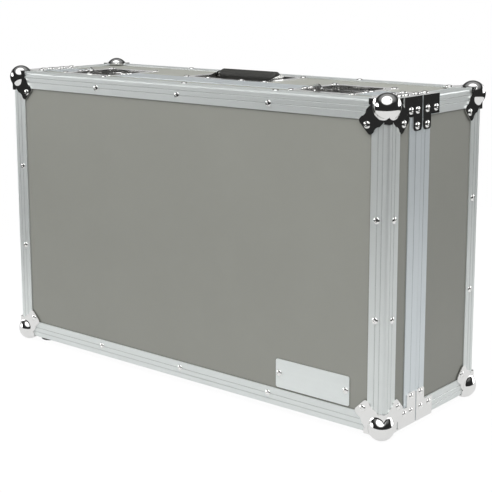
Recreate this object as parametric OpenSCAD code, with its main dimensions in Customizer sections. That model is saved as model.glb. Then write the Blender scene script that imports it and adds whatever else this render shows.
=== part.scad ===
/* [Case] */
// Width of the closed case over the edge trims
case_w = 722; // [700:2:780]
// Height of the closed case over the edge trims
case_h = 440; // [400:2:500]
// Depth of the closed case over the edge trims
case_d = 232; // [224:1:260]
// Depth of the lid, from its front face to the parting line
lid_depth = 77; // [74:1:84]
// Running gap between lid and base at the parting line
part_gap = 0.3; // [0.2:0.1:0.6]

/* [Walls] */
// Thickness of the laminated plywood panels
panel_t = 6.5; // [6:0.5:7.5]
// Thickness of the foam on the side walls
foam_t = 10; // [8:1:14]
// Thickness of the foam pads on the front and back panels
pad_t = 20; // [14:1:26]

/* [Edge trim] */
// Width of each leg of the aluminium edge trim
trim_leg = 26; // [24:0.5:30]
// Wall thickness of the trims
trim_t = 1.5; // [1.2:0.1:2]
// Outside radius of the trim's corner
trim_round = 3; // [2:0.5:4]
// Distance of the decorative groove from the trim's corner
trim_groove = 8.7; // [7:0.1:11]
// Length of the lips that grip the panels inside
trim_lip = 6; // [4:0.5:8]

/* [Closing rims] */
// Width of the lid's closing rim on the outside
lid_rim_w = 28.4; // [26:0.2:30]
// Width of the base's closing rim on the outside
base_rim_w = 20.7; // [19:0.1:22]
// Depth of the rim's web that stops the panel
rim_web = 8; // [7:0.5:9]
// Height of the tongue on the lid's rim
tongue_h = 3.5; // [2.5:0.1:4]
// Thickness of the tongue at its root
tongue_t = 2.4; // [2:0.1:2.8]
// Clearance round the tongue in the base's groove
tongue_gap = 0.9; // [0.7:0.1:1]

/* [Ball corners] */
// Radius of the ball
ball_r = 18; // [17:0.25:19]
// Distance of the ball's centre inside each face
ball_in = 8.7; // [8.2:0.1:9.2]
// Radius of the flared skirt round the ball
skirt_r = 17; // [16.5:0.25:17.5]
// Thickness of the corner plates
corner_t = 1.5; // [1.2:0.1:1.6]
// Reach of the corner plate along each edge
corner_lip = 30; // [29:0.5:33]
// Width of the plate where it runs along an edge
corner_lip_w = 6.5; // [5:0.5:8]
// Reach of each ear along the face's diagonal
ear_reach = 52; // [50:0.5:54]
// Width of each ear
ear_w = 27; // [25:0.5:28]
// Radius of the ear's far corners
ear_round = 5; // [3:0.5:6]
// Radius of the scallop in each side of an ear
scallop_r = 9; // [7:0.5:11]

/* [Rim braces] */
// Length of a base brace along the case's edge
brace_len = 40; // [38:0.5:44]
// Width of a brace's leg along the case's edge
brace_w = 25; // [24:0.5:26]
// Reach of a brace's leg along the parting line
brace_reach = 44; // [42:0.5:48]
// Thickness of the braces
brace_t = 1.2; // [1:0.1:1.5]
// Distance of the braces from the parting line
brace_gap = 1.3; // [1:0.1:1.8]

/* [Rivets] */
// Diameter of the domed rivet heads
rivet_d = 9.5; // [8.5:0.1:9.8]
// Height of the rivet heads
rivet_h = 1.9; // [1.5:0.1:2.2]
// Pitch of the rivets along the long trims
rivet_pitch = 168; // [150:1:180]
// Pitch of the rivets along the upright trims
rivet_pitch_z = 132; // [110:1:150]

/* [Feet] */
// Height of the rubber feet
foot_h = 11; // [10.5:0.5:14]
// Diameter of the rubber feet
foot_d = 32; // [28:1:32]

/* [Hinges] */
// Distance of each hinge from the middle of the case
hinge_x = 200; // [150:5:230]
// Length of a hinge
hinge_w = 64; // [60:2:76]
// Diameter of the hinge knuckles
knuckle_d = 9; // [8.4:0.1:9.4]
// Diameter of the hinge pins
hinge_pin_d = 5; // [4:0.1:5.4]
// Thickness of the hinge leaves
leaf_t = 2; // [1.6:0.1:2.2]

/* [Handle] */
// Width of the handle dish's flange
handle_w = 165; // [160:1:172]
// Gap of the handle dish's flange to the rim before it and the trim behind it
handle_gap = 1.3; // [0.5:0.1:2.5]
// Depth of the handle dish's recess
handle_depth = 22; // [20:0.5:26]
// Length of the rubber grip
grip_len = 110; // [96:1:112]
// Diameter of the rubber grip
grip_d = 18; // [16:0.5:20]
// Diameter of the bail's rod inside the grip
bail_d = 9; // [8:0.5:10]
// Room for fingertips between the resting grip and the dish's rear wall
grip_room = 19.5; // [16:0.5:23]
// Height of the resting grip's centre above the dish's seat
grip_z = 2; // [1.5:0.1:3.5]
// Diameter of the bail's pivot pins
bail_pin_d = 6; // [5:0.1:6.4]

/* [Latches] */
// Distance of each latch from the middle of the case
latch_x = 227.6; // [215:0.2:240]
// Width of the latch dishes over the flange
latch_w = 112; // [110:0.5:116]
// Length of the flange behind the parting line
latch_base_l = 69; // [68:0.5:72]
// Gap of the keeper dish's flange to the lid's front trim
keeper_gap = 6; // [4:0.5:7]
// Depth of the latch dishes
latch_depth = 14; // [13.8:0.1:15]
// Thickness of the pressed steel dishes
dish_t = 1.2; // [1:0.1:1.4]
// Travel of the hook towards the locked position
hook_travel = 6; // [5:0.2:6.4]
// Drop of the hook over that travel
hook_drop = 2.3; // [2:0.1:2.3]
// Width of the hook's arm
hook_w = 18; // [14:1:20]
// Thickness of the hook's carrier and arm
carrier_t = 1.6; // [1.4:0.1:1.8]
// Radius of the eccentric that drives the hook
cam_r = 9; // [8.5:0.1:9]
// Diameter of the fixed stud under the eccentric
stud_d = 6; // [5:0.1:7]
// Gap of the turning wing to the dish's end wall
wing_gap = 1.15; // [0.9:0.05:2.5]

/* [Name plate] */
// Width of the bare name plate
name_w = 124; // [100:0.5:130]
// Height of the bare name plate
name_h = 41; // [30:0.5:44]
// Distance of the plate from the case's right edge
name_x = 55; // [50:1:80]
// Distance of the plate from the case's bottom edge
name_z = 28.5; // [28:0.5:60]

/* [Hidden] */
$fn = 48;
cut = 1;                                      // overshoot of a cut past the face it opens
fit = 0.2;                                    // clearance of a piece set into another
run_gap = 0.05;                               // running clearance of a pin in its bore
air = 0.3;                                    // gap between pieces that move past each other

half_w = case_w / 2;
half_h = case_h / 2;
half_d = case_d / 2;
mid_z = foot_h + half_h;                      // centre of the box above the ground
part_y = lid_depth - half_d;                  // parting line

panel_in = trim_t + panel_t;                  // depth of a panel's inner face below the outside
lip_t = trim_t;                               // thickness of the lips inside the panels
inner = panel_in + lip_t;                     // depth of the clear inside below the outside
edge_web = inner + 0.5;                       // where the edge trims stop the panels
lip_end = edge_web + trim_lip;
trim_wall = 1.6;                              // wall of the edge trim's hollow core
groove_d = 0.5;                               // depth of the decorative grooves
groove_w = 1.4;                               // width of the decorative grooves
rivet_line = 16;                              // distance of the rivets from an edge
rim_lip = rim_web + 6;                        // end of the rim's inner lip
rim_groove = 8.5;                             // decorative groove on the base's rim
lid_rim_groove = 13.4;                        // decorative groove on the lid's rim
tongue_n = panel_in / 2 - tongue_t / 2;       // depth of the tongue's outer side
tongue_draft = 0.5;                           // taper on each side of the tongue
flange_rim = 11;                              // width of the dishes' flanges round the recess
handle_y = base_rim_w + handle_gap;           // handle dish behind the parting line
handle_l = case_d - lid_depth - base_rim_w - trim_leg - 2 * handle_gap;
latch_lid_l = lid_depth - trim_leg - keeper_gap;         // keeper dish in front of the parting line
flare_sink = 0.1;                             // depth at which the ball's flare ends inside the ball
scallop_d = 1.3;                              // depth of the scallop in an ear's side
scallop_at = ear_reach - 12.5;                // scallop's middle along the face's diagonal
shoulder_step = 1.3;                          // step out from the ear's side to its shoulder
ear_rivet = 6.3;                              // ear's rivet from the ear's end
ear_spot = (ear_reach - ear_rivet) / sqrt(2); // ear's rivet from either edge of its face

function mirror_pt(p) = [p[1], p[0]];
function reversed(a) = [for (i = [len(a) - 1:-1:0]) a[i]];
function arc_pts(c, r, a0, a1, n) =
    [for (i = [0:n]) c + r * [cos(a0 + (a1 - a0) * i / n), sin(a0 + (a1 - a0) * i / n)]];
function notch_pts(s) = [[s + groove_w / 2, 0], [s, groove_d], [s - groove_w / 2, 0]];

// Places the box-centred pieces above the ground.
module lift() {
    translate([0, 0, mid_z]) children();
}

module flip_x(on) {
    if (on) mirror([1, 0, 0]) children();
    else children();
}

module flip_y(on) {
    if (on) mirror([0, 1, 0]) children();
    else children();
}

module flip_z(on) {
    if (on) mirror([0, 0, 1]) children();
    else children();
}

// Children are drawn at the left front bottom corner, with the box in their positive octant.
module at_corner(right, back, top) {
    flip_x(right) flip_y(back) flip_z(top)
        translate([-half_w, -half_d, -half_h]) children();
}

// Turns a bar drawn along Z so that it runs along X, with its profile in the Y and Z quadrant.
module along_x() {
    rotate([90, 0, 90]) children();
}

// Turns a bar drawn along Z so that it runs along Y, with its profile in the Z and X quadrant.
module along_y() {
    rotate([90, 0, 90]) rotate([90, 0, 90]) children();
}

// Faces: the child's +Z becomes the outward direction of a face of the corner it is drawn at.
module out_front() {
    rotate([90, 0, 0]) children();
}

module out_side() {
    rotate([0, -90, 0]) children();
}

module out_bottom() {
    rotate([180, 0, 0]) children();
}

// ---------------------------------------------------------------- panels

module slab(lo, hi) {
    translate(lo) cube(hi - lo);
}

module base_back_panel() {
    color("dimgray") lift()
        slab([-half_w + edge_web + fit, half_d - panel_in, -half_h + edge_web + fit],
             [half_w - edge_web - fit, half_d - trim_t, half_h - edge_web - fit]);
}

module lid_front_panel() {
    color("dimgray") lift()
        slab([-half_w + edge_web + fit, -half_d + trim_t, -half_h + edge_web + fit],
             [half_w - edge_web - fit, -half_d + panel_in, half_h - edge_web - fit]);
}

base_wall_y = [part_y + part_gap / 2 + rim_web + fit, half_d - edge_web - fit];
lid_wall_y = [-half_d + edge_web + fit, part_y - part_gap / 2 - rim_web - fit];

// A wall panel over or under the inside, between the y limits of lid or base.
module flat_wall(y) {
    slab([-half_w + edge_web + fit, y[0], -half_h + trim_t],
         [half_w - edge_web - fit, y[1], -half_h + panel_in]);
}

// A wall panel at the end of the case, between the y limits of lid or base.
module end_wall(y) {
    slab([-half_w + trim_t, y[0], -half_h + edge_web + fit],
         [-half_w + panel_in, y[1], half_h - edge_web - fit]);
}

module base_bottom_panel() {
    color("dimgray") lift() flat_wall(base_wall_y);
}

module lid_bottom_panel() {
    color("dimgray") lift() flat_wall(lid_wall_y);
}

module base_left_panel() {
    color("dimgray") lift() end_wall(base_wall_y);
}

module lid_left_panel() {
    color("dimgray") lift() end_wall(lid_wall_y);
}

module base_right_panel() {
    color("dimgray") lift() flip_x(true) end_wall(base_wall_y);
}

module lid_right_panel() {
    color("dimgray") lift() flip_x(true) end_wall(lid_wall_y);
}

module base_top_panel() {
    color("dimgray") difference() {
        lift() flip_z(true) flat_wall(base_wall_y);
        latch_pockets(false);
        handle_pocket();
    }
}

module lid_top_panel() {
    color("dimgray") difference() {
        lift() flip_z(true) flat_wall(lid_wall_y);
        keeper_pockets(false);
    }
}

// ---------------------------------------------------------------- edge trims

// Cross-section of the edge trim: an outer angle with a rounded corner, a hollow core that
// stops both panels, and two lips that grip them from inside. The corner is at the origin.
leg_half = concat([[trim_leg, 0]], notch_pts(rivet_line), notch_pts(trim_groove));
outer_pts = concat(
    leg_half,
    arc_pts([trim_round, trim_round], trim_round, 270, 180, 5),
    reversed([for (p = leg_half) mirror_pt(p)]));
inner_pts = [
    [trim_t, trim_leg], [trim_t, edge_web], [panel_in, edge_web], [panel_in, lip_end],
    [inner, lip_end], [inner, inner], [lip_end, inner], [lip_end, panel_in],
    [edge_web, panel_in], [edge_web, trim_t], [trim_leg, trim_t]];

module edge_profile() {
    difference() {
        polygon(concat(outer_pts, inner_pts));
        translate([trim_wall, trim_wall]) square(panel_in - trim_wall);
    }
}

// A straight trim along Z, centred, with its low and high ends cut to a mitre where asked.
module edge_bar(length, low_mitre, high_mitre) {
    size = trim_leg + cut;
    low = -length / 2 + fit / 2;
    high = length / 2 - fit / 2;
    outline = [[0, low], [0, high],
               [size, high - (high_mitre ? size : 0)], [size, low + (low_mitre ? size : 0)]];
    intersection() {
        linear_extrude(height = length, center = true) edge_profile();
        translate([0, size, 0]) rotate([90, 0, 0]) linear_extrude(height = size) polygon(outline);
        rotate([90, 0, 90]) linear_extrude(height = size) polygon(outline);
    }
}

module long_trims(back) {
    color("gainsboro") lift()
        for (top = [false, true])
            flip_y(back) flip_z(top) translate([0, -half_d, -half_h])
                along_x() edge_bar(case_w, true, true);
}

module upright_trims(back) {
    color("gainsboro") lift()
        for (right = [false, true])
            flip_x(right) flip_y(back) translate([-half_w, -half_d, 0])
                edge_bar(case_h, true, true);
}

// The short trims that run front to back, from a mitred corner up to the closing rim.
module depth_trims(back) {
    length = back ? case_d - lid_depth - part_gap / 2 - base_rim_w
                  : lid_depth - part_gap / 2 - lid_rim_w;
    color("gainsboro") lift()
        for (right = [false, true], top = [false, true])
            flip_x(right) flip_z(top) flip_y(back)
                translate([-half_w, -half_d + length / 2, -half_h])
                    along_y() edge_bar(length, true, false);
}

module base_long_trim() {
    long_trims(true);
}

module lid_long_trim() {
    long_trims(false);
}

module base_upright_trim() {
    upright_trims(true);
}

module lid_upright_trim() {
    upright_trims(false);
}

module base_depth_trim() {
    depth_trims(true);
}

module lid_depth_trim() {
    depth_trims(false);
}

// ---------------------------------------------------------------- closing rims

// Cross-sections of the closing rims. X is the distance from the parting line and Y the depth
// below the outside; the base has the groove and the lid the tongue.
function rim_channel(width) = [
    [width, 0], [width, trim_t], [rim_web, trim_t], [rim_web, panel_in],
    [rim_lip, panel_in], [rim_lip, inner], [0, inner]];

module base_rim_profile() {
    groove_n = tongue_n - tongue_gap / 3;
    polygon(concat(
        [[0, 0]], reversed(notch_pts(rim_groove)), rim_channel(base_rim_w),
        [[0, tongue_n + tongue_t + tongue_gap],
         [tongue_h + tongue_gap, tongue_n + tongue_t + tongue_gap],
         [tongue_h + tongue_gap, groove_n],
         [0, groove_n]]));
}

module lid_rim_profile() {
    polygon(concat(
        [[0, 0]], reversed(notch_pts(lid_rim_groove)), rim_channel(lid_rim_w),
        [[0, tongue_n + tongue_t],
         [-tongue_h, tongue_n + tongue_t - tongue_draft],
         [-tongue_h, tongue_n + tongue_draft],
         [0, tongue_n]]));
}

// One mitred bar of a rim, along X, with the outside at Z = 0 and the inside above it.
module rim_bar(length) {
    low = -tongue_h - cut;
    high = lid_rim_w + cut;
    reach = inner + cut;
    side = length / 2 - fit / 2;
    intersection() {
        rotate([90, 0, 90]) linear_extrude(height = length, center = true) children();
        translate([0, high, 0]) rotate([90, 0, 0]) linear_extrude(height = high - low)
            polygon([[-side, 0], [side, 0], [side - reach, reach], [reach - side, reach]]);
    }
}

// The four bars of a rim round the opening, drawn from the parting line towards +Y.
module rim_ring() {
    for (top = [false, true])
        flip_z(top) translate([0, 0, -half_h]) rim_bar(case_w) children();
    for (right = [false, true])
        flip_x(right) translate([-half_w, 0, 0]) rotate([0, 90, 0]) rim_bar(case_h) children();
}

module base_closing_rim() {
    color("silver") difference() {
        lift() translate([0, part_y + part_gap / 2, 0]) rim_ring() base_rim_profile();
        latch_pockets(true);
    }
}

module lid_closing_rim() {
    color("silver") difference() {
        lift() translate([0, part_y - part_gap / 2, 0])
            flip_y(true) rim_ring() lid_rim_profile();
        keeper_pockets(true);
    }
}

// ---------------------------------------------------------------- ball corners

// Outline of a corner plate on one face, with the case's corner at the origin. It has a lip
// along each edge and an ear on the diagonal. A scallop in each side of the ear runs from a
// wider shoulder to the ear's end. The outline grows by the given amount all round.
module corner_outline(grow) {
    lip = corner_lip + grow;
    lip_w = corner_lip_w + grow;
    half_ear = ear_w / 2 + grow;
    half_shoulder = half_ear + shoulder_step;
    reach = ear_reach + grow;
    translate([-corner_t - grow, -corner_t - grow]) {
        square([lip + corner_t + grow, lip_w + corner_t + grow]);
        square([lip_w + corner_t + grow, lip + corner_t + grow]);
    }
    intersection() {
        square(reach);
        rotate(45) difference() {
            union() {
                translate([0, -half_shoulder])
                    square([scallop_at - scallop_r / 2, 2 * half_shoulder]);
                translate([0, -half_ear]) square([reach - ear_round, 2 * half_ear]);
                translate([0, ear_round - half_ear])
                    square([reach, 2 * (half_ear - ear_round)]);
                for (s = [-1, 1])
                    translate([reach - ear_round, s * (half_ear - ear_round)])
                        circle(r = ear_round);
            }
            for (s = [-1, 1])
                translate([scallop_at, s * (half_ear - scallop_d + scallop_r - grow)])
                    circle(r = scallop_r - grow);
        }
    }
}

module corner_plate(grow) {
    translate([0, 0, -corner_t - grow]) linear_extrude(height = corner_t + grow)
        corner_outline(grow);
}

// The flare where the ball runs out into one plate: an arc that is tangent to both. It meets
// the flares of the other two plates at a mitre.
module ball_skirt() {
    depth = ball_in + corner_t;               // ball's centre below the plate's outside
    bend = (pow(skirt_r, 2) + pow(depth, 2) - pow(ball_r, 2)) / (2 * (ball_r - depth));
    touch = 180 + atan2(depth + bend, skirt_r);
    flare = arc_pts([skirt_r - flare_sink, bend], bend, 270, touch, 6);
    size = 3 * skirt_r;
    intersection() {
        translate([ball_in, ball_in, -corner_t]) mirror([0, 0, 1]) rotate_extrude()
            polygon(concat([[0, 0]], flare, [[0, flare[len(flare) - 1][1]]]));
        for_both_edges(size) polygon([[0, 0], [-size, -size], [size, -size], [size, 0]]);
    }
}

// A shape drawn across an edge, extruded along both edges of a face and cut with itself.
module for_both_edges(size) {
    intersection() {
        rotate([90, 0, 0]) linear_extrude(height = 2 * size, center = true) children();
        rotate([90, 0, 90]) linear_extrude(height = 2 * size, center = true) children();
    }
}

// A pressed corner: three plates that meet at the edges, and a ball with a flared skirt.
module ball_corner() {
    difference() {
        union() {
            translate([ball_in, ball_in, ball_in]) sphere(r = ball_r);
            for (turn = [0:2]) corner_face(turn) {
                corner_plate(0);
                ball_skirt();
            }
        }
        cube(2 * ear_reach);
    }
}

// The three faces that meet at a corner, each turned into the plane Z = 0.
module corner_face(turn) {
    if (turn == 0) children();
    if (turn == 1) along_x() children();
    if (turn == 2) along_y() children();
}

module ball_corners(back) {
    color("whitesmoke") lift()
        for (right = [false, true], top = [false, true])
            at_corner(right, back, top) ball_corner();
}

module base_ball_corners() {
    ball_corners(true);
}

module lid_ball_corners() {
    ball_corners(false);
}

// ---------------------------------------------------------------- rim braces

// Outline of a brace on one face: X runs from the parting line, Y from the case's edge.
module brace_outline(length, width) {
    round_r = 5;
    translate([0, -brace_t]) square([length, brace_w + brace_t]);
    square([width, brace_reach - round_r]);
    translate([round_r, 0]) square([width - 2 * round_r, brace_reach]);
    for (x = [round_r, width - round_r])
        translate([x, brace_reach - round_r]) circle(r = round_r);
}

// A brace bent over the case's edge, from the parting line towards +Y.
module rim_brace(length, width) {
    for (side = [false, true])
        rotate([0, side ? 90 : 0, 0]) flip_x(side)
            translate([0, 0, -brace_t]) linear_extrude(height = brace_t)
                rotate(90) flip_y(true) brace_outline(length, width);
}

module base_rim_braces() {
    color("whitesmoke") lift()
        for (right = [false, true], top = [false, true])
            flip_x(right) flip_z(top) translate([-half_w, part_y + brace_gap, -half_h])
                rim_brace(brace_len, base_rim_w - brace_gap);
}

lid_brace_len = lid_depth - corner_lip - brace_gap - 3.5;

module lid_rim_braces() {
    color("whitesmoke") lift()
        for (right = [false, true], top = [false, true])
            difference() {
                flip_x(right) flip_z(top) translate([-half_w, part_y - brace_gap, -half_h])
                    flip_y(true) rim_brace(lid_brace_len, base_rim_w);
                at_corner(right, false, top)
                    for (turn = [0:2]) corner_face(turn) corner_plate(air);
            }
}

// ---------------------------------------------------------------- rivets

// A domed blind rivet: a low head with the hollow that its mandrel leaves.
module rivet() {
    r = rivet_d / 2;
    hollow = 0.32 * r;
    rotate_extrude() polygon([
        [0, 0], [r, 0], [r, 0.2 * rivet_h], [0.86 * r, 0.62 * rivet_h],
        [0.62 * r, 0.9 * rivet_h], [0.42 * r, rivet_h], [hollow, rivet_h],
        [hollow, 0.45 * rivet_h], [0, 0.45 * rivet_h]]);
}

// Rivets of one corner's plates: one at the tip of each ear. A foot's screw takes the place of
// the one underneath.
module ear_rivets(top) {
    for (turn = [top ? 0 : 1:2]) corner_face(turn)
        translate([ear_spot, ear_spot, -corner_t]) out_bottom() rivet();
}

// Rivets of one brace, on the side and on the flat face. Drawn as the brace is.
module brace_rivets(spots) {
    for (p = spots) {
        translate([-brace_t, p[0], p[1]]) out_side() rivet();
        translate([p[1], p[0], -brace_t]) out_bottom() rivet();
    }
}

brace_row = [10.7, 17, 37.4];                 // first rivet's distance from the brace's end, and the rows
base_brace_spots = [[brace_row[0], brace_row[1]], [brace_len - 8.2, brace_row[1]],
                    [brace_row[0], brace_reach - 6.6]];
lid_brace_spots = [[brace_row[0], brace_row[1]], [26.7, brace_row[1]],
                   [brace_row[0], brace_reach - 6.6]];

// Rivets along the long and upright trims that frame the front or the back.
module trim_rivets(back) {
    for (top = [false, true], i = [-1:1])
        flip_y(back) flip_z(top) translate([i * rivet_pitch, -half_d, -half_h]) {
            translate([0, 0, rivet_line]) out_front() rivet();
            translate([0, rivet_line, 0]) out_bottom() rivet();
        }
    for (right = [false, true], s = [-1, 1])
        flip_x(right) flip_y(back) translate([-half_w, -half_d, s * rivet_pitch_z / 2]) {
            translate([rivet_line, 0, 0]) out_front() rivet();
            translate([0, rivet_line, 0]) out_side() rivet();
        }
}

module base_rivets() {
    color("white") {
        lift() {
            trim_rivets(true);
            for (right = [false, true], top = [false, true]) {
                at_corner(right, true, top) ear_rivets(top);
                flip_x(right) flip_z(top) translate([-half_w, part_y + brace_gap, -half_h])
                    brace_rivets(base_brace_spots);
            }
        }
        for (side = [-1, 1]) at_latch(side) flange_rivets(latch_w, latch_base_l);
        at_handle() handle_rivets();
        hinge_rivets(base_leaf, 1);
    }
}

module lid_rivets() {
    color("white") {
        lift() {
            trim_rivets(false);
            for (right = [false, true], top = [false, true]) {
                at_corner(right, false, top) ear_rivets(top);
                flip_x(right) flip_z(top) translate([-half_w, part_y - brace_gap, -half_h])
                    flip_y(true) brace_rivets(lid_brace_spots);
            }
        }
        for (side = [-1, 1]) at_latch(side) flip_y(true) flange_rivets(latch_w, latch_lid_l);
        hinge_rivets(lid_leaf, -1);
        name_rivets();
    }
}

// ---------------------------------------------------------------- foam

foam_in = inner + foam_t;                     // depth of the lined walls' clear face
pad_in = inner + pad_t;

module base_foam_pad() {
    color("darkslategray") lift()
        slab([-half_w + inner + fit, half_d - pad_in, -half_h + inner + fit],
             [half_w - inner - fit, half_d - inner, half_h - inner - fit]);
}

module lid_foam_pad() {
    color("darkslategray") lift()
        slab([-half_w + inner + fit, -half_d + inner, -half_h + inner + fit],
             [half_w - inner - fit, -half_d + pad_in, half_h - inner - fit]);
}

base_foam_y = [part_y + 1.5, half_d - pad_in - fit];
lid_foam_y = [-half_d + pad_in + fit, part_y - 1.5];

// Foam boards on both ends and on the bottom wall.
module foam_boards(y) {
    for (right = [false, true])
        flip_x(right)
            slab([-half_w + inner, y[0], -half_h + inner + fit],
                 [-half_w + foam_in, y[1], half_h - inner - fit]);
    slab([-half_w + foam_in + fit, y[0], -half_h + inner],
         [half_w - foam_in - fit, y[1], -half_h + foam_in]);
}

module base_foam_walls() {
    color("darkslategray") lift() foam_boards(base_foam_y);
}

module lid_foam_walls() {
    color("darkslategray") lift() foam_boards(lid_foam_y);
}

// A foam board under the top wall between two x limits.
module top_board(x0, x1, y0, y1) {
    slab([x0, y0, half_h - foam_in], [x1, y1, half_h - inner]);
}

latch_clear = latch_w / 2 - flange_rim + 1.5;      // half width that a latch dish needs in the foam
handle_clear = handle_w / 2 - flange_rim + 1.5;

// The base's top wall is lined round the dishes that reach through it.
module base_foam_top() {
    color("darkslategray") lift()
        for (right = [false, true]) flip_x(right) {
            top_board(-half_w + foam_in + fit, -latch_x - latch_clear,
                      base_foam_y[0], base_foam_y[1]);
            top_board(-latch_x - latch_clear + fit, -latch_x + latch_clear - fit,
                      part_y + latch_base_l - flange_rim + 1.5, base_foam_y[1]);
            top_board(-latch_x + latch_clear, -handle_clear, base_foam_y[0], base_foam_y[1]);
        }
}

module lid_foam_top() {
    color("darkslategray") lift() {
        for (right = [false, true]) flip_x(right)
            top_board(-half_w + foam_in + fit, -latch_x - latch_clear,
                      lid_foam_y[0], lid_foam_y[1]);
        top_board(-latch_x + latch_clear, latch_x - latch_clear, lid_foam_y[0], lid_foam_y[1]);
    }
}

// ---------------------------------------------------------------- feet

screw_pocket_r = 6;
screw_pocket = foot_h / 2;
screw_r = 2;
screw_head = [4.6, 3.4, 2.2];                 // radius at the rubber, radius at the top, height
cross_slot = [4, 1, 1.2];                     // length, width and depth of the cross recess
foot_edge = 3;                                // rounding of the foot's lower edge
foot_taper = 1;
foot_seat = max(corner_t, brace_t + air);     // the feet clear the braces beside the ears

// A rubber foot below the ear of a corner, with a rounded edge and a pocket for its screw.
module foot() {
    r = foot_d / 2;
    rotate([180, 0, 0]) rotate_extrude() polygon(concat(
        [[screw_r, foot_seat], [r, foot_seat]],
        arc_pts([r - foot_edge - foot_taper, foot_h - foot_edge], foot_edge, 0, 90, 4),
        [[screw_pocket_r, foot_h], [screw_pocket_r, foot_h - screw_pocket],
         [screw_r, foot_h - screw_pocket]]));
}

// A round-headed screw that holds a foot, with a cross-shaped recess.
module foot_screw() {
    top = foot_h - screw_pocket;
    rotate([180, 0, 0]) difference() {
        union() {
            translate([0, 0, foot_seat]) cylinder(h = top - foot_seat, r = screw_r);
            translate([0, 0, top])
                cylinder(h = screw_head[2], r1 = screw_head[0], r2 = screw_head[1]);
        }
        for (a = [0, 90]) rotate(a)
            translate([-cross_slot[0] / 2, -cross_slot[1] / 2, top + screw_head[2] - cross_slot[2]])
                cube([cross_slot[0], cross_slot[1], cross_slot[2] + cut]);
    }
}

// Children are drawn at the tips of the lower ears of the front or back corners.
module at_lower_ears(back) {
    lift() for (right = [false, true])
        at_corner(right, back, false) translate([ear_spot, ear_spot, 0]) children();
}

module base_feet() {
    color("black") at_lower_ears(true) foot();
}

module lid_feet() {
    color("black") at_lower_ears(false) foot();
}

module base_foot_screws() {
    color("silver") at_lower_ears(true) foot_screw();
}

module lid_foot_screws() {
    color("silver") at_lower_ears(false) foot_screw();
}

// ---------------------------------------------------------------- hinges

axis_drop = knuckle_d / 2 + 0.2;              // hinge axis below the bottom face
hinge_z = foot_h - axis_drop;
base_leaf = base_rim_w - 1;
lid_leaf = lid_rim_w - 2.4;
knuckles = 5;
knuckle_w = hinge_w / knuckles;

// A leaf on the bottom face with its share of the knuckles: first = 0 gives knuckles 0, 2, 4.
module hinge_leaf(width, first) {
    swing = knuckle_d / 2 + 0.6;              // room for the other leaf's knuckles
    difference() {
        union() {
            translate([-hinge_w / 2, part_gap / 2, axis_drop - leaf_t])
                cube([hinge_w, width - part_gap / 2, leaf_t]);
            for (i = [first:2:knuckles - 1]) translate([knuckle_w * i - hinge_w / 2 + air / 2, 0, 0])
                rotate([0, 90, 0]) cylinder(h = knuckle_w - air, d = knuckle_d);
        }
        for (i = [1 - first:2:knuckles - 1])
            translate([knuckle_w * i - hinge_w / 2 - air / 2, -swing, -swing])
                cube([knuckle_w + air, 2 * swing, 2 * swing + cut]);
        translate([-hinge_w / 2 - cut, 0, 0]) rotate([0, 90, 0])
            cylinder(h = hinge_w + 2 * cut, d = hinge_pin_d + 2 * run_gap);
    }
}

module at_hinge(side) {
    translate([side * hinge_x, part_y, hinge_z]) children();
}

module base_hinge_leaves() {
    color("silver") for (side = [-1, 1]) at_hinge(side) hinge_leaf(base_leaf, 0);
}

module lid_hinge_leaves() {
    color("silver") for (side = [-1, 1]) at_hinge(side) flip_y(true) hinge_leaf(lid_leaf, 1);
}

module hinge_pins() {
    head = 1;
    color("gray") for (side = [-1, 1]) at_hinge(side)
        translate([-hinge_w / 2 - head, 0, 0]) rotate([0, 90, 0]) {
            cylinder(h = hinge_w + 2 * head, d = hinge_pin_d);
            cylinder(h = head, d = hinge_pin_d + 2);
            translate([0, 0, hinge_w + head]) cylinder(h = head, d = hinge_pin_d + 2);
        }
}

module hinge_rivets(width, s) {
    for (side = [-1, 1], i = [-1:1]) at_hinge(side)
        translate([i * hinge_w / 3, s * (width - rivet_d / 2 - 1), axis_drop - leaf_t])
            out_bottom() rivet();
}

// ---------------------------------------------------------------- dishes

// A flat shape that starts at Y = 0 and has round corners at its far end only.
module tray_shape(width, length, r) {
    translate([-width / 2, 0]) square([width, length - r]);
    translate([-width / 2 + r, 0]) square([width - 2 * r, length]);
    for (s = [-1, 1]) translate([s * (width / 2 - r), length - r]) circle(r = r);
}

// A flat shape with four round corners, centred in X and starting at Y = 0.
module plate_shape(width, length, r) {
    translate([-width / 2, r]) square([width, length - 2 * r]);
    translate([-width / 2 + r, 0]) square([width - 2 * r, length]);
    for (s = [-1, 1], y = [r, length - r]) translate([s * (width / 2 - r), y]) circle(r = r);
}

flange_round = 6;
recess_round = 9;

// The flanges lie on the top wall's panel, one trim's thickness below the case's top face.
module at_latch(side) {
    translate([side * latch_x, part_y, mid_z + half_h - trim_t]) children();
}

module at_handle() {
    translate([0, part_y + handle_y, mid_z + half_h - trim_t]) children();
}

// The room that a latch dish takes from the parting line towards +Y: its recess through the
// wall, and where asked its flange in the rim's outer layer. It starts at the given Y.
module dish_room(length, start, with_flange) {
    recess_w = latch_w - 2 * flange_rim + 2 * fit;
    translate([0, start, -latch_depth - 2 * dish_t]) linear_extrude(height = latch_depth + 4 * dish_t)
        tray_shape(recess_w, length - flange_rim + fit - start, recess_round);
    if (with_flange) translate([0, start, 0]) linear_extrude(height = trim_t + cut)
        tray_shape(latch_w + 2 * fit, length + fit - start, flange_round + fit);
}

module latch_pockets(with_flange) {
    for (side = [-1, 1]) at_latch(side)
        dish_room(latch_base_l, -part_gap, with_flange);
}

module keeper_pockets(with_flange) {
    for (side = [-1, 1]) at_latch(side) flip_y(true)
        dish_room(latch_lid_l, -tongue_h - cut, with_flange);
}

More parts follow.
